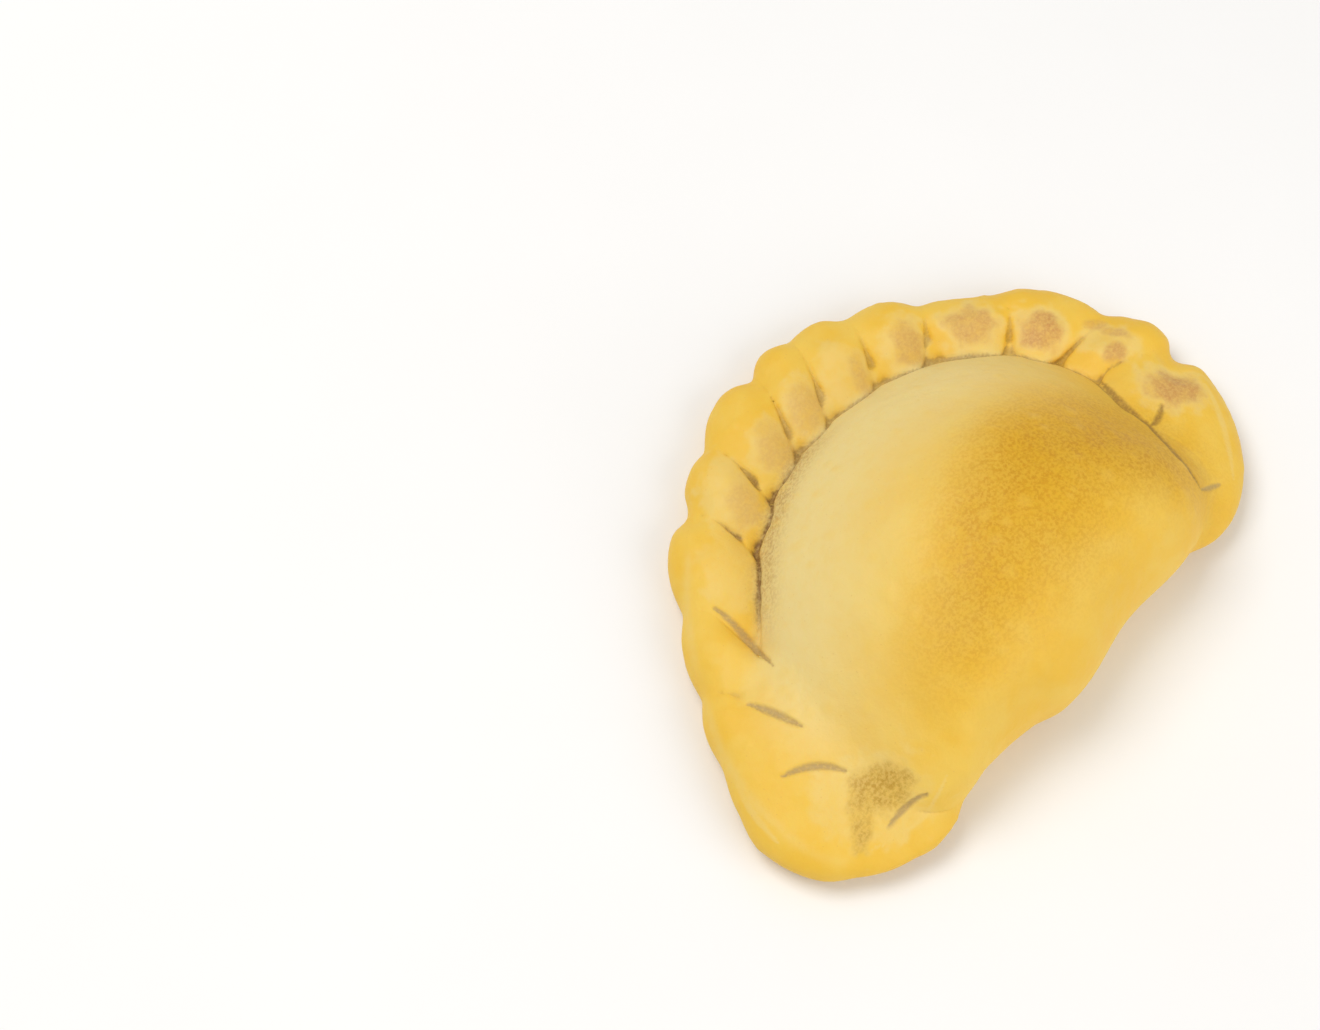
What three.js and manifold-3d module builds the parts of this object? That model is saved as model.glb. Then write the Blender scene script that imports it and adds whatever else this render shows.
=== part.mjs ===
// A baked empanada: one round of dough folded in half over its filling, and sealed along the
// round side with a rope crimp (repulgue), where each fold lies over the next one.
// It is shut all round, so it is one solid. Millimetres, +Z up, the flat underside on z = 0,
// the folded side along X at the front (-Y) and the crimp round the back (+Y).
import * as THREE from "three";
import { mergeVertices } from "three/addons/utils/BufferGeometryUtils.js";
import Module from "manifold-3d";

const { lerp, clamp, smoothstep, degToRad, seededRandom } = THREE.MathUtils;
const wasm = await Module();
wasm.setup();
const UP = new THREE.Vector3(0, 0, 1);

// Driving dimensions
const HEIGHT = 36; // the top of the belly
const NOSE_HEIGHT = 13; // where the folded side stands out furthest
const ROOT_HEIGHT = 4; // where the belly meets the underside of the rope
const ROPE_HEIGHT = 11;
const TIP_HEIGHT = 10;
const FOLD_WAVE = 1.2; // how far the folded side waves in and out
const FOLD_WAVE_PITCH = 36;
const FOLD_WAVE_START = -7;
const LUMP = 0.25; // how far the filling pushes the dough up and down

// Half-moons, in sizes from the middle of the shoulder line: `left` and `right` reach to the
// tips, `rise` to the back and `drop` to the folded side. A power of 2 makes a quarter an
// ellipse, a lower one leaner and a higher one fuller. `drawnIn` is how far the right end is
// drawn in under the tip.
const ROPE_OUTSIDE = {
  left: 64.5,
  right: 63.5,
  rise: 62.8,
  drop: 24,
  drawnIn: 0,
  powers: { backRight: 1.97, backLeft: 1.56, frontLeft: 3.4, frontRight: 3.2 },
};
const ROPE_ROOT = {
  left: 45.5,
  right: 46.5,
  rise: 42.6,
  drop: 19,
  drawnIn: 3.8,
  powers: { backRight: 2.37, backLeft: 1.79, frontLeft: 3.5, frontRight: 3.5 },
};
const BELLY = { ...ROPE_ROOT, left: 47, right: 47.5, rise: 44.5, drop: 24 };
const DRAWN_FROM = 7; // where along Y the right end is drawn in
const DRAWN_TO = -22;

// The folds of the rope from the left to the right: where each one ends, as a share of the way
// along the root and along the outside, and how far it reaches out, where 1 is the whole width
// of the rope.
const ROPE_START = [0.028, 0.024];
const FOLDS = [
  [0.116, 0.11, 0.91],
  [0.193, 0.205, 0.92],
  [0.331, 0.29, 1.04],
  [0.398, 0.37, 0.96],
  [0.468, 0.463, 0.99],
  [0.526, 0.515, 0.99],
  [0.606, 0.572, 1.03],
  [0.677, 0.646, 0.96],
  [0.775, 0.735, 0.86],
  [0.833, 0.845, 1.02],
  [0.908, 0.922, 1.01],
  [0.976, 0.985, 0.89],
];

// The plain lobes at the ends of the rope, as ellipses in plan.
const LEFT_TIP = { x: -42.1, y: -0.8, turn: -55.5, length: 43.8, width: 44.2 };
const RIGHT_TIP = { x: 43.4, y: -7.7, turn: 46.7, length: 41.8, width: 28.7 };

// A point of a half-moon, where the angle goes anticlockwise from the right tip.
function halfMoon(size, angle) {
  const c = Math.cos(angle);
  const s = Math.sin(angle);
  const { backRight, backLeft, frontLeft, frontRight } = size.powers;
  const power = s > 0 ? (c > 0 ? backRight : backLeft) : c < 0 ? frontLeft : frontRight;
  const x = Math.sign(c) * (c > 0 ? size.right : size.left) * Math.abs(c) ** (2 / power);
  const y = Math.sign(s) * (s > 0 ? size.rise : size.drop) * Math.abs(s) ** (2 / power);
  const wave = FOLD_WAVE * Math.cos((2 * Math.PI * (x - FOLD_WAVE_START)) / FOLD_WAVE_PITCH);
  const share = clamp((y - DRAWN_FROM) / (DRAWN_TO - DRAWN_FROM), 0, 1);
  const drawn = c > 0 ? size.drawnIn * Math.sin(Math.PI * share) : 0;
  return new THREE.Vector3(x - drawn, s > 0 ? y : y - wave * s ** 4, 0);
}

class Outline extends THREE.Curve {
  constructor(size, start, end) {
    super();
    this.size = size;
    this.start = start;
    this.end = end;
    this.arcLengthDivisions = 400;
  }
  getPoint(t) {
    return halfMoon(this.size, degToRad(lerp(this.start, this.end, t)));
  }
}

// A three.js geometry as a solid.
function solidOf(geometry) {
  geometry.deleteAttribute("normal");
  geometry.deleteAttribute("uv");
  const merged = mergeVertices(geometry, 1e-5);
  return new wasm.Manifold(
    new wasm.Mesh({
      numProp: 3,
      vertProperties: merged.attributes.position.array,
      triVerts: new Uint32Array(merged.index.array),
    }),
  );
}

// A unit sphere, whose points are moved to where place(x, y, z) says.
function shapedSphere(around, down, place) {
  const sphere = new THREE.SphereGeometry(1, around, down).rotateX(Math.PI / 2);
  sphere.deleteAttribute("normal");
  sphere.deleteAttribute("uv");
  const merged = mergeVertices(sphere, 1e-5);
  const position = merged.attributes.position;
  for (let i = 0; i < position.count; i++) {
    const p = place(position.getX(i), position.getY(i), position.getZ(i));
    position.setXYZ(i, p.x, p.y, p.z);
  }
  return solidOf(merged);
}

// The belly: a dome over the filling. On the crimped side it runs down to the root of the rope,
// and on the folded side it rolls round a blunt nose. Round its summit it is an ellipse.
const SUMMIT = new THREE.Vector3(1, 6, 0);
const SUMMIT_LENGTH = 46; // half of the ellipse
const SUMMIT_DEPTH = 31;
const UNDERSIDE = -1; // the tray cuts the belly flat above this
const TUCK = { crimped: 0.06, folded: 0.32 }; // how much of the way out curls under
const CURL = 2.2; // the power of that curl
const DOME_FLATNESS = { crimped: 2.1, folded: 2.4 };
const DOME_STEEPNESS = { crimped: 0.9, folded: 0.5 }; // 0.5 stands upright at the rim
const BELLY_AROUND = 84;
const BELLY_DOWN = 34;

function lumps(x, y) {
  return LUMP * (Math.sin(x / 9 + 0.6) * Math.cos(y / 10 - 0.4) + 0.5 * Math.sin(x / 6 - y / 7));
}

function bellyHeight(p, out, upperHalf, folded) {
  const at = (side) => lerp(side.crimped, side.folded, folded);
  const rim = lerp(ROOT_HEIGHT, NOSE_HEIGHT, folded);
  if (upperHalf) {
    const dome = (1 - out ** at(DOME_FLATNESS)) ** at(DOME_STEEPNESS);
    return rim + (HEIGHT - rim + lumps(p.x, p.y)) * dome;
  }
  const curled = Math.max(0, 1 - (1 - out) / at(TUCK));
  return lerp(UNDERSIDE, rim, 1 - Math.sqrt(1 - curled ** CURL));
}

function makeBelly() {
  const edge = new Outline(BELLY, 0, 360);
  return shapedSphere(BELLY_AROUND, BELLY_DOWN, (sx, sy, sz) => {
    const out = Math.min(Math.hypot(sx, sy), 1);
    const turn = Math.atan2(sy, sx) / (2 * Math.PI);
    const toEdge = edge.getPointAt((turn + 1) % 1).sub(SUMMIT);
    const toEllipse = 1 / Math.hypot(toEdge.x / SUMMIT_LENGTH, toEdge.y / SUMMIT_DEPTH);
    const folded = smoothstep(-toEdge.y / toEdge.length(), -0.05, 0.85);
    const p = SUMMIT.clone().addScaledVector(toEdge, out * lerp(toEllipse, 1, out ** 2));
    p.z = bellyHeight(p, out, sz >= 0, folded);
    return p;
  });
}

// The rope: a strip between its root and its outside, cut crossways into folds. `root` and
// `outside` go along its two sides from the left end to the right one, and `across` goes from
// the root to the outside.
const ropeRoot = new Outline(ROPE_ROOT, 189, -7);
const ropeOutside = new Outline(ROPE_OUTSIDE, 165, -16);
const ROPE_MIDDLE = 0.46 * ROPE_HEIGHT;

function ropePoint(root, outside, across) {
  const inner = ropeRoot.getPointAt(clamp(root, 0, 1));
  const outer = ropeOutside.getPointAt(clamp(outside, 0, 1));
  return inner.lerp(outer, across);
}

// One fold, from its root out to its rounded end. It spreads over its neighbours on the way
// out, and its left side is lower, so that the one before it lies over it.
const SQUARENESS = { root: 4, end: 2.4 }; // in plan: 2 is round, more is squarer
const ROOT_TUCK = 0.22; // how far a fold starts inside the belly
const ROOT_THINNESS = 0.75; // how much of its height a fold has at the root
const ROOT_WIDTH = 0.95; // how much of its width
const FOLD_SPREAD = 0.44; // how much wider it grows
const FOLD_LEAN = 1.3;
const FOLD_UNEVEN = 0.12;
const FOLD_AROUND = 21;
const FOLD_SECTIONS = 13;

function crimpFold([rootStart, outsideStart], [rootEnd, outsideEnd, reach]) {
  const high = (ROPE_HEIGHT / 2) * (1 + FOLD_UNEVEN * (seededRandom() - 0.5));
  return shapedSphere(FOLD_AROUND, FOLD_SECTIONS, (left, up, out) => {
    const power = lerp(SQUARENESS.root, SQUARENESS.end, smoothstep(out, -0.5, 0.5));
    const norm = Math.abs(out) ** power + Math.abs(left) ** power;
    const square = norm > 0 ? Math.hypot(out, left) / norm ** (1 / power) : 1;
    const across = lerp(-ROOT_TUCK, reach, 0.5 + 0.5 * out * square);
    const width = ROOT_WIDTH + FOLD_SPREAD * smoothstep(across, 0, 0.8);
    const share = 0.5 + 0.5 * left * square * width;
    const root = lerp(rootEnd, rootStart, share);
    const p = ropePoint(root, lerp(outsideEnd, outsideStart, share), across);
    const thickness = lerp(ROOT_THINNESS, 1, smoothstep(across, 0, 0.5));
    p.z = ROPE_MIDDLE + high * thickness * up - FOLD_LEAN * left;
    return p;
  });
}

// The pressed seam that the folds are rolled round, so that no air is shut in under them.
const SEAM_HEIGHT = 3.85;
const SEAM_WIDTH = 1; // as a share of the rope's
const SEAM_MIDDLE = 0.3; // how far across the rope

function makeSeam() {
  return shapedSphere(10, 40, (sx, sy, sz) => {
    const along = 0.5 + 0.53 * sz;
    const p = ropePoint(along, along, SEAM_MIDDLE + (SEAM_WIDTH / 2) * sx);
    p.z = SEAM_HEIGHT * (1 + 1.1 * sy);
    return p;
  });
}

// A tip, where the rope starts or stops: a plain lobe that slopes down from the belly.
const TIP_CLIMB = 1.5; // how much thicker it is on the inside

function plainTip(size) {
  return shapedSphere(28, 15, (sx, sy, sz) => {
    const up = (TIP_HEIGHT / 2) * (1 + sz) * lerp(1, TIP_CLIMB, 0.5 + 0.5 * sy);
    return new THREE.Vector3((size.length / 2) * sx, (size.width / 2) * sy, up)
      .applyAxisAngle(UP, degToRad(size.turn))
      .add(new THREE.Vector3(size.x, size.y, 0));
  });
}

// The rope's folds laid on the pastry one after another.
function crimped(pastry) {
  seededRandom(7);
  let start = ROPE_START;
  for (const fold of FOLDS) {
    pastry = pastry.add(crimpFold(start, fold));
    start = fold;
  }
  return pastry;
}

// What would hang below the baking tray is pressed flat on it.
function pressedFlat(pastry) {
  const [size, thickness] = [300, 40];
  const tray = new THREE.BoxGeometry(size, size, thickness).translate(0, 0, -thickness / 2);
  return pastry.subtract(solidOf(tray));
}

// The dough's surface. Where two surfaces graze, a cut leaves corners almost on top of each
// other: those are welded, and the slivers between them dropped.
const WELD = 0.01;

function surfaceOf(solid) {
  const mesh = solid.getMesh();
  const cut = new THREE.BufferGeometry();
  cut.setAttribute("position", new THREE.BufferAttribute(mesh.vertProperties, 3));
  cut.setIndex(new THREE.BufferAttribute(mesh.triVerts, 1));
  const welded = mergeVertices(cut, WELD);
  const faces = new Map();
  for (let i = 0; i < welded.index.count; i += 3) {
    const face = Array.from(welded.index.array.subarray(i, i + 3));
    const key = [...face].sort().join();
    if (new Set(face).size < 3) continue;
    if (faces.has(key)) faces.delete(key);
    else faces.set(key, face);
  }
  return welded.setIndex([...faces.values()].flat());
}

function makeEmpanada() {
  const plain = makeBelly().add(makeSeam()).add(plainTip(LEFT_TIP)).add(plainTip(RIGHT_TIP));
  const surface = surfaceOf(pressedFlat(crimped(plain)));
  surface.computeBoundingBox();
  const middle = surface.boundingBox.getCenter(new THREE.Vector3());
  surface.translate(-middle.x, -middle.y, 0);
  surface.computeVertexNormals();
  const crust = new THREE.MeshStandardMaterial({ color: 0xebc151, roughness: 0.55, metalness: 0 });
  const mesh = new THREE.Mesh(surface, crust);
  mesh.name = "empanada";
  return mesh;
}

const part = new THREE.Group();
part.add(makeEmpanada());
export default part;
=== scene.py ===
import math

import bpy
import numpy as np
from mathutils import Matrix, Vector, noise


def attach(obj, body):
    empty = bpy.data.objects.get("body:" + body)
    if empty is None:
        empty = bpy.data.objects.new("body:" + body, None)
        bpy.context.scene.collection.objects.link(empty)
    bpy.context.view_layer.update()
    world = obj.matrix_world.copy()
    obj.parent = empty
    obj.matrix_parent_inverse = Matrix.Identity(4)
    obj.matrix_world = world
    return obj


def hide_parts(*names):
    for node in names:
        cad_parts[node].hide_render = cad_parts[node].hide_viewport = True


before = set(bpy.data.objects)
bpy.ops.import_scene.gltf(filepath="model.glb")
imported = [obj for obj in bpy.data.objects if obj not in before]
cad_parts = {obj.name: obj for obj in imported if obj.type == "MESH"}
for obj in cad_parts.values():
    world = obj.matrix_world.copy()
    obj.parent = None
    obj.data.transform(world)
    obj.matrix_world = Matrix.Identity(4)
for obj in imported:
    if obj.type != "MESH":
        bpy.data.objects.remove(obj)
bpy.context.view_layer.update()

# ---------------------------------------------------------------------------------------------
# The pastry. One round of soft wheat dough, rolled about 3 mm thick, laid over a spoonful of
# filling, folded in half and pressed shut. Its edge is turned in, thumb by thumb, into a rope
# of overlapping folds, and the two tips are tucked under plain.
# ---------------------------------------------------------------------------------------------
MM = 0.001
SKIN_GRAIN = 0.48  # spacing of the skin's mesh, in mm
SEAM = 1e-6  # corners nearer than this are one, in m
TRIANGLES = 190000  # the most that the finished skin has

# Places on the pastry are in mm from its shoulder, the middle of the line between the tips.
SHOULDER = np.array([0.57, -18.39])
BELLY_TOP = np.array([1.0, 6.0])
ROPE_ROOT = dict(
    left=45.5, right=46.5, rise=42.6, drop=19.0, fullness=(2.37, 1.79, 3.5, 3.5), drawn_in=3.8
)
ROPE_RIM = dict(
    left=64.5, right=63.5, rise=62.8, drop=24.0, fullness=(1.97, 1.56, 3.4, 3.2), drawn_in=0.0
)
DRAWN_FROM = 7.0  # where along Y the right end is drawn in
DRAWN_TO = -22.0


def soft_step(value, low, high):
    share = np.clip((value - low) / (high - low), 0.0, 1.0)
    return share * share * (3.0 - 2.0 * share)


def half_moon(size, directions):
    """Distance of a half-moon's edge from the top of the belly, for directions in radians."""
    angle = np.radians(np.arange(0.0, 360.0, 0.5))
    c, s = np.cos(angle), np.sin(angle)
    back_right, back_left, front_left, front_right = size["fullness"]
    power = np.where(
        s > 0, np.where(c > 0, back_right, back_left), np.where(c < 0, front_left, front_right)
    )
    x = np.sign(c) * np.where(c > 0, size["right"], size["left"]) * np.abs(c) ** (2 / power)
    y = np.sign(s) * np.where(s > 0, size["rise"], size["drop"]) * np.abs(s) ** (2 / power)
    share = np.clip((y - DRAWN_FROM) / (DRAWN_TO - DRAWN_FROM), 0.0, 1.0)
    x = np.where(c > 0, x - size["drawn_in"] * np.sin(math.pi * share), x)
    x, y = x - BELLY_TOP[0], y - BELLY_TOP[1]
    at = np.arctan2(y, x)
    order = np.argsort(at)
    return np.interp(directions, at[order], np.hypot(x, y)[order], period=2 * math.pi)


def folded_pastry(node):
    """The pastry's closed skin as an even mesh, fine enough for dough."""
    mesh = node.data.copy()
    mesh.materials.clear()
    pastry = bpy.data.objects.new("crust", mesh)
    bpy.context.scene.collection.objects.link(pastry)
    weld = pastry.modifiers.new("weld", "WELD")
    weld.merge_threshold = SEAM
    even = pastry.modifiers.new("even", "REMESH")
    even.mode = "VOXEL"
    even.voxel_size = SKIN_GRAIN * MM
    ready = pastry.evaluated_get(bpy.context.evaluated_depsgraph_get())
    skin = bpy.data.meshes.new_from_object(ready)
    pastry.modifiers.clear()
    pastry.data = skin
    skin.name = "crust"
    return pastry


def thin_out(pastry, most):
    """Fewer triangles where the skin is flat, first of all on the sole."""
    count = sum(len(face.vertices) - 2 for face in pastry.data.polygons)
    if count > most:
        thinner = pastry.modifiers.new("thinner", "DECIMATE")
        thinner.ratio = most / count
        ready = pastry.evaluated_get(bpy.context.evaluated_depsgraph_get())
        pastry.data = bpy.data.meshes.new_from_object(ready)
        pastry.modifiers.clear()
        pastry.data.name = "crust"


EASE = 0.8  # how far a point goes towards its neighbours' middle in one round


class Skin:
    """The pastry's surface as arrays in mm, to be smoothed, pressed and raised."""

    def __init__(self, mesh):
        self.mesh = mesh
        count = len(mesh.vertices)
        co = np.empty(count * 3)
        mesh.vertices.foreach_get("co", co)
        self.at = co.reshape(-1, 3) / MM
        ends = np.empty(len(mesh.edges) * 2, np.int64)
        mesh.edges.foreach_get("vertices", ends)
        self.ends = ends.reshape(-1, 2)
        self.degree = np.bincount(ends, minlength=count).astype(float)

    @property
    def plan(self):
        """Each point seen from above, from the shoulder."""
        return self.at[:, :2] - SHOULDER

    def around(self, field):
        """The mean of a field over each point's neighbours."""
        a, b = self.ends[:, 0], self.ends[:, 1]
        count = len(self.at)
        total = np.bincount(a, field[b], count) + np.bincount(b, field[a], count)
        return total / self.degree

    def blurred(self, field, rounds):
        for _ in range(rounds):
            field = 0.5 * (field + self.around(field))
        return field

    def relaxed(self, rounds, ease):
        """Where the points would lie after a number of rounds of evening out."""
        at = self.at.copy()
        for _ in range(rounds):
            for axis in range(3):
                at[:, axis] += ease * (self.around(at[:, axis]) - at[:, axis])
        return at

    def hollow(self, rounds):
        """How deep each point lies in a valley, in mm: more rounds find wider valleys."""
        return np.einsum("ij,ij->i", self.relaxed(rounds, EASE) - self.at, self.normals())

    def beside(self, start, end, near, far):
        """1 within `near` mm of a line seen from above, fading to 0 at `far` mm."""
        start, run = np.array(start), np.array(end) - np.array(start)
        from_start = self.plan - start
        along = np.clip(from_start @ run / (run @ run), 0.0, 1.0)
        off = from_start - along[:, None] * run
        return soft_step(np.hypot(off[:, 0], off[:, 1]), far, near)

    def normals(self):
        self.store()
        out = np.empty(len(self.at) * 3)
        self.mesh.vertex_normals.foreach_get("vector", out)
        return out.reshape(-1, 3)

    def push(self, depth):
        """Moves each point along its normal: in mm, outwards where it is positive."""
        self.at += self.normals() * depth[:, None]
        self.rest_on_tray()

    def rest_on_tray(self):
        self.at[:, 2] = np.maximum(self.at[:, 2], 0.0)

    def store(self):
        self.mesh.vertices.foreach_set("co", (self.at * MM).ravel())
        self.mesh.update()

    def keep(self, name, field):
        """Stores a field for the crust's finish to read."""
        layer = self.mesh.attributes.new(name, "FLOAT", "POINT")
        layer.data.foreach_set("value", field.astype(np.float32))


crust = folded_pastry(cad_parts["empanada"])
skin = Skin(crust.data)

# The soft dough settles before it bakes. The folds keep their valleys, the belly goes quite
# smooth, and it runs into the two tips without a step.
FACETS_OUT = 5  # rounds
SETTLING = 60
TIP_SETTLING = 200
SOFTNESS = 0.85  # of the free dough: how far it settles in one round
HOLD = 0.9  # how much of that a fold's valley withstands
RIGHT_TIP_SHARE = 0.7  # the right tip settles less than the left one
skin.at = skin.relaxed(FACETS_OUT, EASE)
skin.rest_on_tray()
left_tip = skin.beside((-38.0, 13.0), (-43.0, -21.0), 8.0, 13.0)
left_tip *= soft_step(skin.normals()[:, 2], 0.45, 0.8)
right_tip = skin.beside((42.5, -4.0), (36.5, -20.0), 3.0, 7.0)
right_tip *= soft_step(skin.at[:, 2], 7.0, 10.5)
into_tip = np.maximum(left_tip, RIGHT_TIP_SHARE * right_tip)
fold = soft_step(skin.hollow(10), 0.05, 0.16) * (1.0 - into_tip)
held = soft_step(skin.blurred(fold, 3), 0.05, 0.45)
for settling in range(TIP_SETTLING):
    ease = SOFTNESS * (1.0 - HOLD * held) * (1.0 if settling < SETTLING else into_tip)
    for axis in range(3):
        skin.at[:, axis] += ease * (skin.around(skin.at[:, axis]) - skin.at[:, axis])
skin.rest_on_tray()

# In the oven all of it puffs up. The rim swells out more or, below 0, stays pinched in at these
# places: from, to, how wide and how far, in mm.
PUFF = 0.6
RIM_SWELLS = [
    ((-63.5, -1.0), (-61.5, -9.5), 8.5, 1.1),
    ((-40.0, -22.0), (-43.0, -22.0), 6.0, 0.7),
    ((-27.0, -21.5), (-18.0, -23.5), 7.5, -1.0),
    ((56.5, 0.2), (58.5, 2.2), 5.0, -1.4),
    ((59.6, 6.4), (60.0, 9.0), 4.5, 0.5),
    ((53.4, 24.0), (54.8, 16.5), 6.0, -0.9),
    ((50.2, 33.6), (49.2, 36.4), 5.5, 0.7),
    ((41.8, 38.8), (40.2, 39.8), 5.0, -0.7),
    ((21.3, 54.4), (20.3, 55.0), 5.0, -0.9),
    ((13.2, 60.0), (10.0, 60.4), 6.0, 0.7),
    ((6.6, 58.2), (5.0, 58.4), 5.0, -0.4),
    ((-22.6, 51.0), (-24.4, 49.4), 4.5, -0.6),
]
SWELL_CORE = 1.0  # how far from its middle a swell keeps its full height, in mm
puff = np.full(len(skin.at), PUFF)
for start, end, width, height in RIM_SWELLS:
    puff += height * skin.beside(start, end, SWELL_CORE, width)
skin.push(puff)
fold = skin.blurred(fold, 1)

# Where each point lies on the pastry: its direction from the top of the belly, and how far out
# it is, with 0 at the root of the rope and 1 at its rim.
from_top = skin.plan - BELLY_TOP
facing = np.arctan2(from_top[:, 1], from_top[:, 0])
reach = np.hypot(from_top[:, 0], from_top[:, 1])
to_root = half_moon(ROPE_ROOT, facing)
to_rim = half_moon(ROPE_RIM, facing)
across = (reach - to_root) / (to_rim - to_root)
inside = to_root - reach
upward = skin.normals()[:, 2]
top_side = soft_step(upward, -0.1, 0.35)


def towards(middle, half_width):
    """1 towards a direction from the top of the belly, in degrees, fading to 0 beside it."""
    off = np.abs((np.degrees(facing) - middle + 180.0) % 360.0 - 180.0)
    return soft_step(off, half_width, 0.45 * half_width)


def dough_noise(size, seed, octaves=3):
    """Uneven dough: smooth noise from -1 to 1, whose lumps are about size mm."""
    place = Vector((seed * 17.3, seed * 5.1, seed * 11.7))
    return np.array(
        [noise.fractal(Vector(p) / size + place, 0.9, 2.0, octaves) for p in skin.at.tolist()]
    )


lumpy = dough_noise(13.0, 1, 2)
rough = dough_noise(3.2, 2, 3)
LUMP_HEIGHT = 0.30  # mm
ROUGH_HEIGHT = 0.07

# Valleys between the folds, and the groove at their root, as pressed by the thumb. They are
# deepest at the root and run out towards the rim.
VALLEY_DEPTH = 0.5  # mm, on top of the folds' own
crease = fold * top_side * soft_step(across, 1.05, 0.1)

# Short creases where the rope runs out into the tips, and the lines at its root on the right:
# from, by way of, to, half of the width and the depth in mm.
TIP_CREASES = [
    ((-38.6, 18.8), (-36.4, 26.8), (-36.2, 34.8), 0.75, 0.35),
    ((-44.6, 7.4), (-45.5, 13.0), (-46.7, 18.2), 0.85, 0.45),
    ((-46.0, -3.8), (-48.6, 1.2), (-53.8, 4.6), 0.80, 0.45),
    ((-40.4, -17.4), (-43.6, -15.5), (-48.8, -15.2), 0.75, 0.40),
    ((36.0, -18.9), (39.4, -19.2), (42.2, -20.0), 0.70, 0.30),
]
ROOT_LINES = [
    ((45.4, 9.6), (42.6, 3.0), (40.9, -6.0), 0.85, 0.20),
    ((42.0, -2.4), (38.2, -11.0), (36.1, -18.9), 1.30, 0.25),
    ((41.7, -3.9), (44.4, -3.8), (47.4, -2.5), 0.75, 0.35),
]


def stroke(start, way, end, half_width):
    """How strongly each point lies on a short curved stroke that is slender at both ends."""
    start, way, end = np.array(start), np.array(way), np.array(end)
    bow = 2.0 * way - 0.5 * (start + end)
    steepness = np.clip(upward, 0.4, 1.0)
    strength = np.zeros(len(skin.at))
    for t in np.linspace(0.02, 0.98, 33):
        at = (1 - t) ** 2 * start + 2 * t * (1 - t) * bow + t**2 * end
        slender = half_width * (0.25 + 0.75 * math.sin(math.pi * t) ** 0.7)
        off = np.hypot(*(skin.plan - at).T) / steepness
        strength = np.maximum(strength, soft_step(off, 1.25 * slender, 0.45 * slender))
    return strength * top_side


def pressed(creases):
    """Where a set of creases lies, from 0 to 1, and how deep it is, in mm."""
    share = np.zeros(len(skin.at))
    press = np.zeros(len(skin.at))
    for *path, depth in creases:
        along = stroke(*path)
        share = np.maximum(share, along)
        press = np.maximum(press, depth * along)
    return share, press


tip_creases, tip_press = pressed(TIP_CREASES)
root_lines, root_press = pressed(ROOT_LINES)

skin.push(
    LUMP_HEIGHT * lumpy * top_side
    + ROUGH_HEIGHT * rough * top_side
    - VALLEY_DEPTH * crease * (1.0 + 0.4 * rough)
    - np.maximum(tip_press, root_press)
)
sharp = soft_step(skin.hollow(4), 0.02, 0.11)

# Blisters: little bubbles that rise in the skin as it bakes, most of them on the belly.
BLISTERS = 190
BLISTER_HEIGHT = 0.24  # mm, times each one's own share
dice = np.random.default_rng(11)
blister = np.zeros(len(skin.at))
spot = dice.uniform((-58, -24), (58, 58), (BLISTERS, 2))
spot_size = dice.uniform(0.6, 1.9, BLISTERS)
for (x, y), size in zip(spot, spot_size):
    near = np.hypot(skin.plan[:, 0] - x, skin.plan[:, 1] - y) / size
    bump = np.clip(1.0 - near**2, 0.0, 1.0) ** 1.5
    blister = np.maximum(blister, bump * (0.35 + 0.3 * size / 2.0))
blister *= top_side * (1.0 - crease)
skin.push(BLISTER_HEIGHT * blister)

# ---------------------------------------------------------------------------------------------
# The baking. The oven colours the dough where it stands up or is thin: a golden patch on the
# shoulder of the belly, partly painted shade, tan spots on the folds, an olive-brown one on the
# left tip. Behind the rope the dough is shaded by it and stays pale, with a painted highlight
# laid over this pale band. Painted shade darkens the creases and the foot of the belly, and a
# painted highlight follows the rims.
# ---------------------------------------------------------------------------------------------
# Baked patches: middle, long and short radius in mm, direction in degrees, strength.
TOASTED = [
    (38.9, 34.8, 4.3, 3.7, 120.0, 0.80),
    (46.8, 24.3, 4.1, 3.5, 100.0, 1.00),
    (51.4, 11.0, 2.6, 2.1, 0.0, 0.90),
    (54.6, 18.0, 2.4, 1.2, -40.0, 0.60),
    (55.4, 13.6, 2.6, 1.1, -75.0, 0.60),
    (52.0, -2.2, 5.4, 3.7, -49.5, 1.00),
    (27.7, 41.4, 4.3, 2.5, 60.0, 0.60),
    (17.0, 43.8, 4.2, 1.6, 60.0, 0.45),
    (5.2, 47.4, 4.6, 3.6, 45.0, 0.42),
    (-4.6, 46.4, 4.4, 3.2, 60.0, 0.42),
    (-16.4, 43.6, 4.8, 3.0, 60.0, 0.42),
]
OLIVE_SPOT = [
    (-44.6, -10.4, 5.6, 3.2, -49.5, 1.00),
    (-47.6, -8.4, 3.6, 2.6, 40.0, 0.85),
    (-51.0, -11.2, 4.4, 1.9, 40.0, 0.80),
]
PADS = [
    (38.9, 34.6, 6.4, 5.4, 120.0, 1.00),
    (47.0, 24.2, 6.0, 5.2, 100.0, 1.00),
    (52.6, 13.8, 6.4, 4.2, 110.0, 0.90),
    (51.8, -1.8, 7.4, 5.6, -49.5, 1.00),
    (27.6, 41.6, 6.4, 4.4, 60.0, 0.80),
    (15.8, 46.8, 6.6, 5.4, 60.0, 0.75),
    (5.6, 47.6, 6.4, 5.6, 45.0, 0.85),
    (-4.6, 47.0, 5.8, 4.8, 60.0, 0.80),
    (-17.2, 46.4, 8.6, 5.6, 58.0, 0.85),
    (-28.6, 37.2, 7.0, 5.6, 50.0, 0.60),
    (-42.0, 23.0, 6.5, 4.0, 40.0, 0.25),
    (-47.8, -9.6, 11.0, 7.4, -49.5, 0.70),
]
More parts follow.
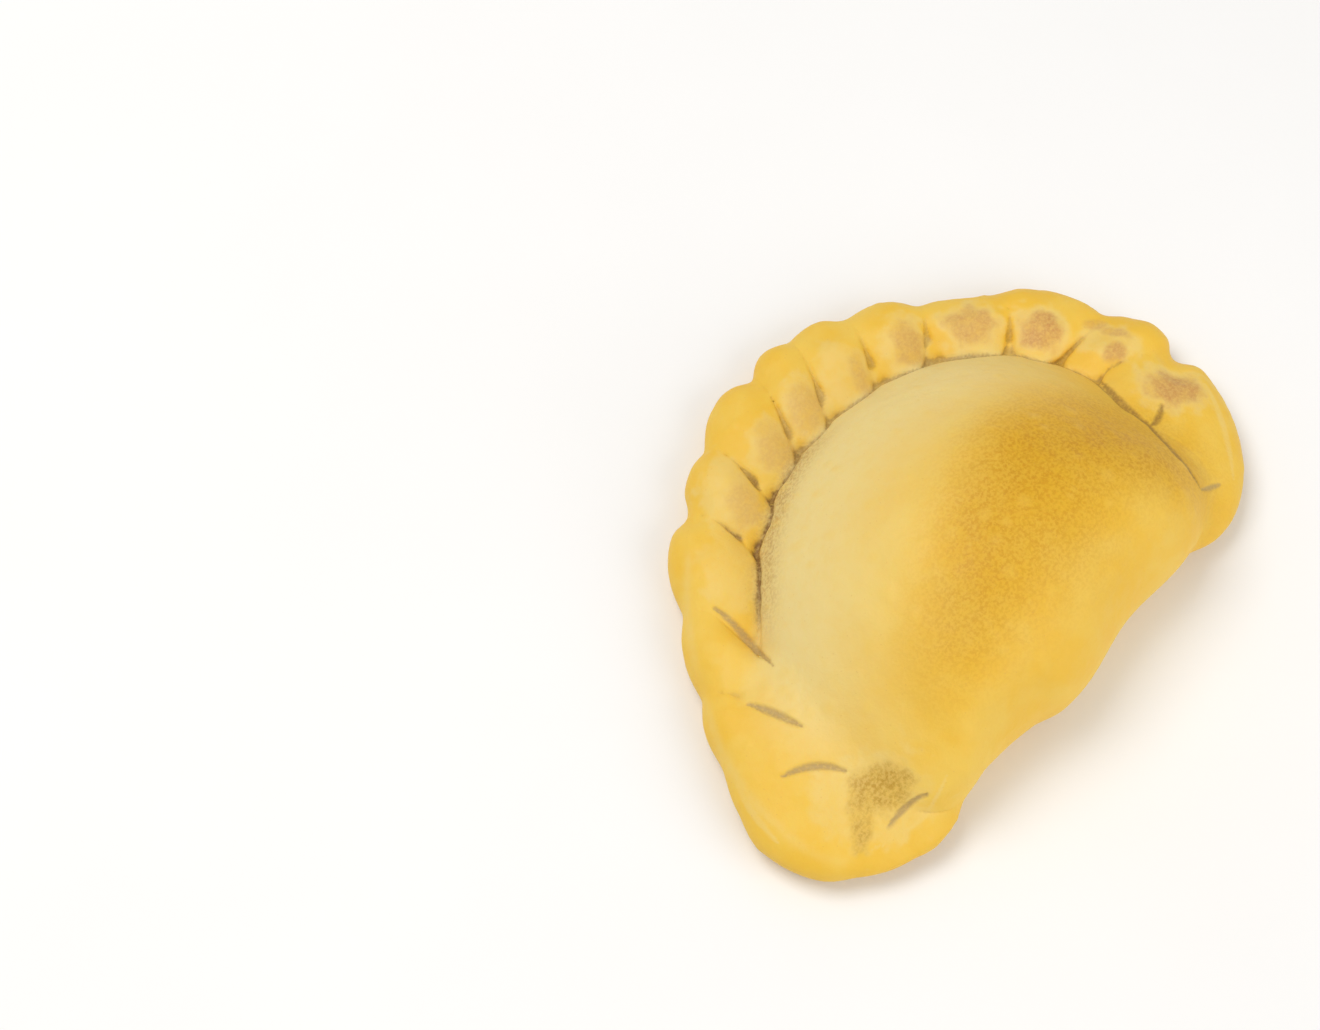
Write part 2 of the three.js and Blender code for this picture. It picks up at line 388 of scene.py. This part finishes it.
# Golden patches on the belly: partly baked colour, partly painted shade.
GOLDEN = [
    (26.7, -1.2, 17.0, 10.5, -40.0, 1.00),
    (34.0, 3.0, 9.0, 6.5, -60.0, 0.60),
    (31.5, -11.5, 10.0, 7.0, -55.0, 0.65),
    (11.2, 4.5, 13.5, 9.5, 10.0, 0.90),
    (-2.0, 3.5, 9.0, 6.5, 20.0, 0.55),
    (6.5, -7.5, 16.0, 9.5, 10.0, 0.55),
    (-9.0, -3.5, 13.0, 9.0, 30.0, 0.56),
    (-19.0, -5.5, 12.0, 8.0, 25.0, 0.42),
]


def away_from(patch):
    """Distance from a patch's middle, as a share of its radius."""
    x, y, long, short, turn, _ = patch
    c, s = math.cos(math.radians(turn)), math.sin(math.radians(turn))
    dx, dy = skin.plan[:, 0] - x, skin.plan[:, 1] - y
    return np.hypot((c * dx + s * dy) / long, (c * dy - s * dx) / short)


def ragged_spots(patches, softness=0.4):
    """Patches whose edges wander with the dough's unevenness, as a field from 0 to 1."""
    field = np.zeros(len(skin.at))
    for patch in patches:
        near = away_from(patch) * (1.0 + 0.34 * rough + 0.12 * lumpy)
        spot = patch[-1] * soft_step(near, 1.0 + softness, 1.0 - softness)
        field = np.maximum(field, spot)
    return field * top_side


def soft_patches(patches):
    """Patches that fade out and run into each other, as a field from 0 to 1."""
    field = np.zeros(len(skin.at))
    for patch in patches:
        share = patch[-1] * np.exp(-1.1 * away_from(patch) ** 2)
        field = 1.0 - (1.0 - field) * (1.0 - share)
    return field * top_side


# Pale dough, partly a painted highlight, runs all along behind the rope, and past its left end
# into the tip.
PALE_WIDTH = 23.0  # mm
past_rope = towards(190, 45)
behind_rope = soft_step(inside, -1.5 - 9.0 * past_rope, 1.0 + 4.0 * past_rope)
behind_rope *= np.exp(-((np.clip(inside, 0, None) / PALE_WIDTH) ** 2))
pale = behind_rope * towards(104, 114) * top_side

# On each fold a paler pad surrounds the baked spot, and a thin paler line, a painted highlight,
# follows the rim.
RIM_HIGHLIGHT_LINE = 0.8  # where it runs, from 0 at the root of the rope to 1 at its rim
RIM_HIGHLIGHT_WIDTH = 0.05
pads = ragged_spots(PADS, 0.2)
rim_highlight = np.exp(-(((across - RIM_HIGHLIGHT_LINE) / RIM_HIGHLIGHT_WIDTH) ** 2)) * soft_step(lumpy, -0.25, 0.3)
rim_highlight *= 0.6 * towards(150, 60)
# The painted highlight also runs as a paler line along the edges of the tips.
TIP_RIM_HIGHLIGHTS = [
    ((57.6, -5.4), (52.9, -12.8), (45.0, -21.2), 0.9),
    ((-36.6, -18.0), (-43.6, -18.4), (-53.3, -15.2), 0.8),
    ((-58.4, 11.0), (-61.2, 4.8), (-62.6, -2.4), 0.8),
]
for path in TIP_RIM_HIGHLIGHTS:
    rim_highlight = np.maximum(rim_highlight, 0.75 * stroke(*path))

# Painted shade darkens the creases, darkest on the left, where the root of the rope then fades
# out. Beside the root a band of painted shade lies on the foot of the belly.
ROOT_SHADE_AT = 1.3  # mm from the root
ROOT_SHADE_WIDTH = 2.4
darkness = 0.6 + 0.4 * towards(130, 42)
darkness *= 1.0 - towards(176, 40) * soft_step(across, 0.6, 0.2)
darkness *= 1.0 - skin.beside((-38.6, 18.8), (-36.3, 35.0), 2.5, 5.0)
crease_shade = np.clip(sharp * crease**0.5 * soft_step(across, 0.95, 0.1) * darkness, 0, 1)
# A band of painted shade on the foot of the belly, beside the root of the rope
root_shade = np.exp(-(((inside - ROOT_SHADE_AT) / ROOT_SHADE_WIDTH) ** 2)) * towards(118, 42)

skin.keep("pale", pale)
skin.keep("golden", soft_patches(GOLDEN))
skin.keep("toast", ragged_spots(TOASTED))
skin.keep("olive", ragged_spots(OLIVE_SPOT))
# The paler pads and the painted highlight along the rims share one field and one colour.
skin.keep("pad_and_rim_highlight", np.maximum(pads, rim_highlight * top_side))
# Painted shade in the creases, and thin lines of painted shade along the root of the rope on the
# right
skin.keep("crease", np.maximum(crease_shade, 0.75 * root_lines))
# Painted shade along the short creases where the rope runs out into the tips
skin.keep("stroke", tip_creases)
skin.keep("root_shade", root_shade * top_side)
skin.keep("blister", blister)
skin.keep("sole", soft_step(skin.at[:, 2], 2.2, 0.2) * soft_step(-upward, 0.2, 0.8))
skin.store()
thin_out(crust, TRIANGLES)

# The sole lay on the tray, so it stays quite flat, with an edge all round.
SOLE_FACING = -0.98
for face in crust.data.polygons:
    face.use_smooth = face.normal.z > SOLE_FACING


def linear(red, green, blue):
    """A colour from 0 to 255 as the shader takes it."""
    channel = [c / 255.0 for c in (red, green, blue)]
    return [c / 12.92 if c <= 0.04045 else ((c + 0.055) / 1.055) ** 2.4 for c in channel] + [1.0]


BUTTER_YELLOW = linear(237, 190, 62)
BUTTER_LIGHT = linear(238, 198, 84)
# Pale dough, partly a painted highlight
PALE_DOUGH_AND_HIGHLIGHT = linear(236, 214, 144)
# Golden colours, partly painted shade on the belly
WARM_GOLD = linear(214, 163, 10)
DEEP_GOLD = linear(196, 135, 4)
# Cream of the paler pads and of the painted highlight along the rims
PAD_AND_HIGHLIGHT_CREAM = linear(236, 203, 114)
TAN = linear(203, 150, 82)
OLIVE_BROWN = linear(186, 142, 42)
# Painted shade in the creases
CREASE_SHADE_BROWN = linear(138, 100, 46)
# Painted shade in the short creases at the tips
TIP_CREASE_SHADE_KHAKI = linear(186, 156, 98)
# Painted shade at the foot of the belly
ROOT_SHADE_BROWN = linear(182, 142, 76)
SOLE_BROWN = linear(196, 140, 62)


class Finish:
    """A material's nodes, laid out as they are made."""

    UNDER, OVER, MIXED = 6, 7, 2  # the mix node's colour sockets

    def __init__(self, name):
        self.material = bpy.data.materials.new(name)
        self.material.use_nodes = True
        self.nodes = self.material.node_tree.nodes
        self.links = self.material.node_tree.links
        self.shader = self.nodes["Principled BSDF"]
        self.place = self.nodes.new("ShaderNodeTexCoord").outputs["Object"]

    def feed(self, socket, value):
        if isinstance(value, bpy.types.NodeSocket):
            self.links.new(value, socket)
        else:
            socket.default_value = value

    def field(self, name):
        node = self.nodes.new("ShaderNodeAttribute")
        node.attribute_name = name
        return node.outputs["Fac"]

    def grain(self, size, detail=3.0, roughness=0.55, distortion=0.0):
        """Noise whose lumps are about size mm."""
        node = self.nodes.new("ShaderNodeTexNoise")
        self.feed(node.inputs["Vector"], self.place)
        node.inputs["Scale"].default_value = 1.0 / (size * MM)
        node.inputs["Detail"].default_value = detail
        node.inputs["Roughness"].default_value = roughness
        node.inputs["Distortion"].default_value = distortion
        return node.outputs["Fac"]

    def cells(self, size, randomness=1.0):
        node = self.nodes.new("ShaderNodeTexVoronoi")
        self.feed(node.inputs["Vector"], self.place)
        node.inputs["Scale"].default_value = 1.0 / (size * MM)
        node.inputs["Randomness"].default_value = randomness
        return node.outputs["Distance"]

    def times(self, a, b):
        node = self.nodes.new("ShaderNodeMath")
        node.operation = "MULTIPLY"
        self.feed(node.inputs[0], a)
        self.feed(node.inputs[1], b)
        return node.outputs[0]

    def between(self, value, low, high, to_low=0.0, to_high=1.0):
        node = self.nodes.new("ShaderNodeMapRange")
        node.interpolation_type = "SMOOTHSTEP"
        for socket, number in zip(node.inputs, (value, low, high, to_low, to_high)):
            self.feed(socket, number)
        return node.outputs["Result"]

    def over(self, under, share, colour):
        """Lays a colour over another one, by a share from 0 to 1."""
        node = self.nodes.new("ShaderNodeMix")
        node.data_type = "RGBA"
        self.feed(node.inputs["Factor"], share)
        self.feed(node.inputs[self.UNDER], under)
        self.feed(node.inputs[self.OVER], colour)
        return node.outputs[self.MIXED]

    def bump(self, height, strength, distance, normal=None):
        node = self.nodes.new("ShaderNodeBump")
        node.inputs["Strength"].default_value = strength
        node.inputs["Distance"].default_value = distance * MM
        self.feed(node.inputs["Height"], height)
        if normal is not None:
            self.feed(node.inputs["Normal"], normal)
        return node.outputs["Normal"]


def egg_washed_crust():
    f = Finish("egg_washed_crust")
    cloud = f.grain(11.0, 3.0, 0.5, 0.3)
    mottle = f.grain(2.4, 4.0, 0.62)
    stipple = f.grain(0.62, 3.0, 0.65)
    speck = f.cells(1.5)

    def stippled(name, low, high, least):
        """A field broken up into fine grains."""
        grains = f.between(stipple, low, high, least, 1.0)
        return f.times(f.field(name), f.times(grains, f.between(mottle, 0.28, 0.62, 0.6, 1.0)))

    colour = f.over(BUTTER_YELLOW, f.between(cloud, 0.35, 0.7), BUTTER_LIGHT)
    # Paler pads, and the painted highlight along the rims
    pad_and_rim_highlight = f.times(f.field("pad_and_rim_highlight"), f.between(mottle, 0.3, 0.6, 0.6, 0.95))
    colour = f.over(colour, pad_and_rim_highlight, PAD_AND_HIGHLIGHT_CREAM)
    # Pale dough behind the rope, partly a painted highlight
    pale = f.times(f.field("pale"), f.between(mottle, 0.1, 0.6, 0.8, 1.0))
    colour = f.over(colour, pale, PALE_DOUGH_AND_HIGHLIGHT)
    # Golden baked colour on the belly, partly painted shade
    colour = f.over(colour, f.times(f.field("golden"), 0.75), WARM_GOLD)
    colour = f.over(colour, f.times(stippled("golden", 0.40, 0.62, 0.22), 0.82), DEEP_GOLD)
    colour = f.over(colour, stippled("toast", 0.36, 0.60, 0.66), TAN)
    colour = f.over(colour, f.times(stippled("olive", 0.40, 0.62, 0.50), 0.91), OLIVE_BROWN)
    # Painted shade at the foot of the belly, beside the root of the rope
    colour = f.over(colour, f.times(stippled("root_shade", 0.40, 0.62, 0.30), 0.72), ROOT_SHADE_BROWN)
    # Painted shade in the creases and along the root lines
    crease = f.times(f.field("crease"), f.between(stipple, 0.30, 0.60, 0.65, 1.0))
    colour = f.over(colour, crease, CREASE_SHADE_BROWN)
    # Painted shade along the short creases at the tips
    tip_crease_shade = f.times(f.field("stroke"), f.between(stipple, 0.30, 0.55, 0.6, 0.9))
    colour = f.over(colour, tip_crease_shade, TIP_CREASE_SHADE_KHAKI)

    colour = f.over(colour, f.times(f.field("blister"), 0.4), BUTTER_LIGHT)
    colour = f.over(colour, f.between(speck, 0.10, 0.04, 0.0, 0.3), TAN)
    sole = f.times(f.field("sole"), f.between(mottle, 0.3, 0.7, 0.35, 1.0))
    colour = f.over(colour, sole, SOLE_BROWN)
    f.feed(f.shader.inputs["Base Color"], colour)

    f.feed(f.shader.inputs["Roughness"], f.between(cloud, 0.3, 0.7, 0.52, 0.64))
    f.feed(f.shader.inputs["Coat Weight"], f.between(mottle, 0.35, 0.65, 0.06, 0.18))
    f.shader.inputs["Coat Roughness"].default_value = 0.4
    f.shader.inputs["IOR"].default_value = 1.42
    f.shader.inputs["Specular IOR Level"].default_value = 0.35
    f.shader.inputs["Subsurface Weight"].default_value = 0.12
    f.shader.inputs["Subsurface Radius"].default_value = (1.0, 0.55, 0.2)
    f.shader.inputs["Subsurface Scale"].default_value = 0.003

    pores = f.bump(stipple, 0.45, 0.12)
    wrinkles = f.bump(mottle, 0.5, 0.28, pores)
    f.feed(f.shader.inputs["Normal"], wrinkles)
    return f.material


crust.data.materials.append(egg_washed_crust())
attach(crust, "root")
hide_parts("empanada")

# ---------------------------------------------------------------------------------------------
# The table: a plain pale top, well wider than the pastry, with soft daylight from the left and
# behind, and a little light all round.
# ---------------------------------------------------------------------------------------------
TABLE_SIZE = 3.0


def table_top():
    half = TABLE_SIZE / 2
    mesh = bpy.data.meshes.new("table")
    corners = [(-half, -half, 0), (half, -half, 0), (half, half, 0), (-half, half, 0)]
    mesh.from_pydata(corners, [], [(0, 1, 2, 3)])
    top = bpy.data.objects.new("table", mesh)
    bpy.context.scene.collection.objects.link(top)
    f = Finish("pale_table")
    colour = f.over(linear(246, 245, 243), f.grain(60.0), linear(250, 249, 248))
    f.feed(f.shader.inputs["Base Color"], colour)
    f.shader.inputs["Roughness"].default_value = 0.8
    mesh.materials.append(f.material)
    return top


TABLE_GAP = 0.0002  # keeps the sole and the table apart, in m
table = table_top()
table.location.z = -TABLE_GAP

CAMERA_TURN = math.radians(-49.5)
CAMERA_RISE = math.radians(65.0)
back = Vector((  # from the pastry to the camera
    math.sin(CAMERA_TURN) * math.cos(CAMERA_RISE),
    -math.cos(CAMERA_TURN) * math.cos(CAMERA_RISE),
    math.sin(CAMERA_RISE),
))
right = Vector((math.cos(CAMERA_TURN), math.sin(CAMERA_TURN), 0.0))
up = back.cross(right)

LIT_HEIGHT = 0.015  # the lamps point at the pastry's middle, this high in m


def soft_light(name, way, distance, size, power, warmth=(1.0, 1.0, 1.0)):
    """A square lamp in a direction from the pastry: in m and W."""
    lamp = bpy.data.lights.new(name, "AREA")
    lamp.energy = power
    lamp.size = size
    lamp.color = warmth
    light = bpy.data.objects.new(name, lamp)
    light.location = Vector((0, 0, LIT_HEIGHT)) + way.normalized() * distance
    light.rotation_euler = way.to_track_quat("Z", "Y").to_euler()
    bpy.context.scene.collection.objects.link(light)


DAYLIGHT = (1.0, 0.985, 0.96)
soft_light("window", -0.45 * right + 0.55 * up + 0.9 * back, 0.9, 0.5, 3.95, DAYLIGHT)
soft_light("fill", 0.9 * right - 0.3 * up + 0.9 * back, 1.1, 0.9, 4.6)

room = bpy.data.worlds.new("room")
room.use_nodes = True
room_light = room.node_tree.nodes["Background"]
room_light.inputs["Color"].default_value = (1.0, 1.0, 1.0, 1.0)
room_light.inputs["Strength"].default_value = 0.5
bpy.context.scene.world = room
bpy.context.scene.view_settings.view_transform = "Standard"

# ---------------------------------------------------------------------------------------------
# The camera looks steeply down over the left tip.
# ---------------------------------------------------------------------------------------------
LENS = 85.0
SENSOR = 36.0
FRAME_PIXELS = 1320
PIXELS_PER_MM = 5.6  # at the pastry
FRAME_WIDTH = FRAME_PIXELS / PIXELS_PER_MM * MM
DISTANCE = FRAME_WIDTH * LENS / SENSOR
MIDDLE = Vector((-0.00295, -0.00112, 0.0175))  # of the pastry, as the camera sees it
PASTRY_RIGHT = 0.04406  # how far right of the frame's middle it lies, in m
PASTRY_LOW = 0.00094  # and how far below it
AIM = MIDDLE - PASTRY_RIGHT * right + PASTRY_LOW * up

camera = bpy.data.objects.new("camera", bpy.data.cameras.new("camera"))
camera.data.lens = LENS
camera.data.sensor_width = SENSOR
camera.data.clip_start = 0.01
camera.matrix_world = Matrix((
    (right.x, up.x, back.x, 0.0),
    (right.y, up.y, back.y, 0.0),
    (right.z, up.z, back.z, 0.0),
    (0.0, 0.0, 0.0, 1.0),
))
camera.location = AIM + back * DISTANCE
bpy.context.scene.collection.objects.link(camera)
bpy.context.scene.camera = camera
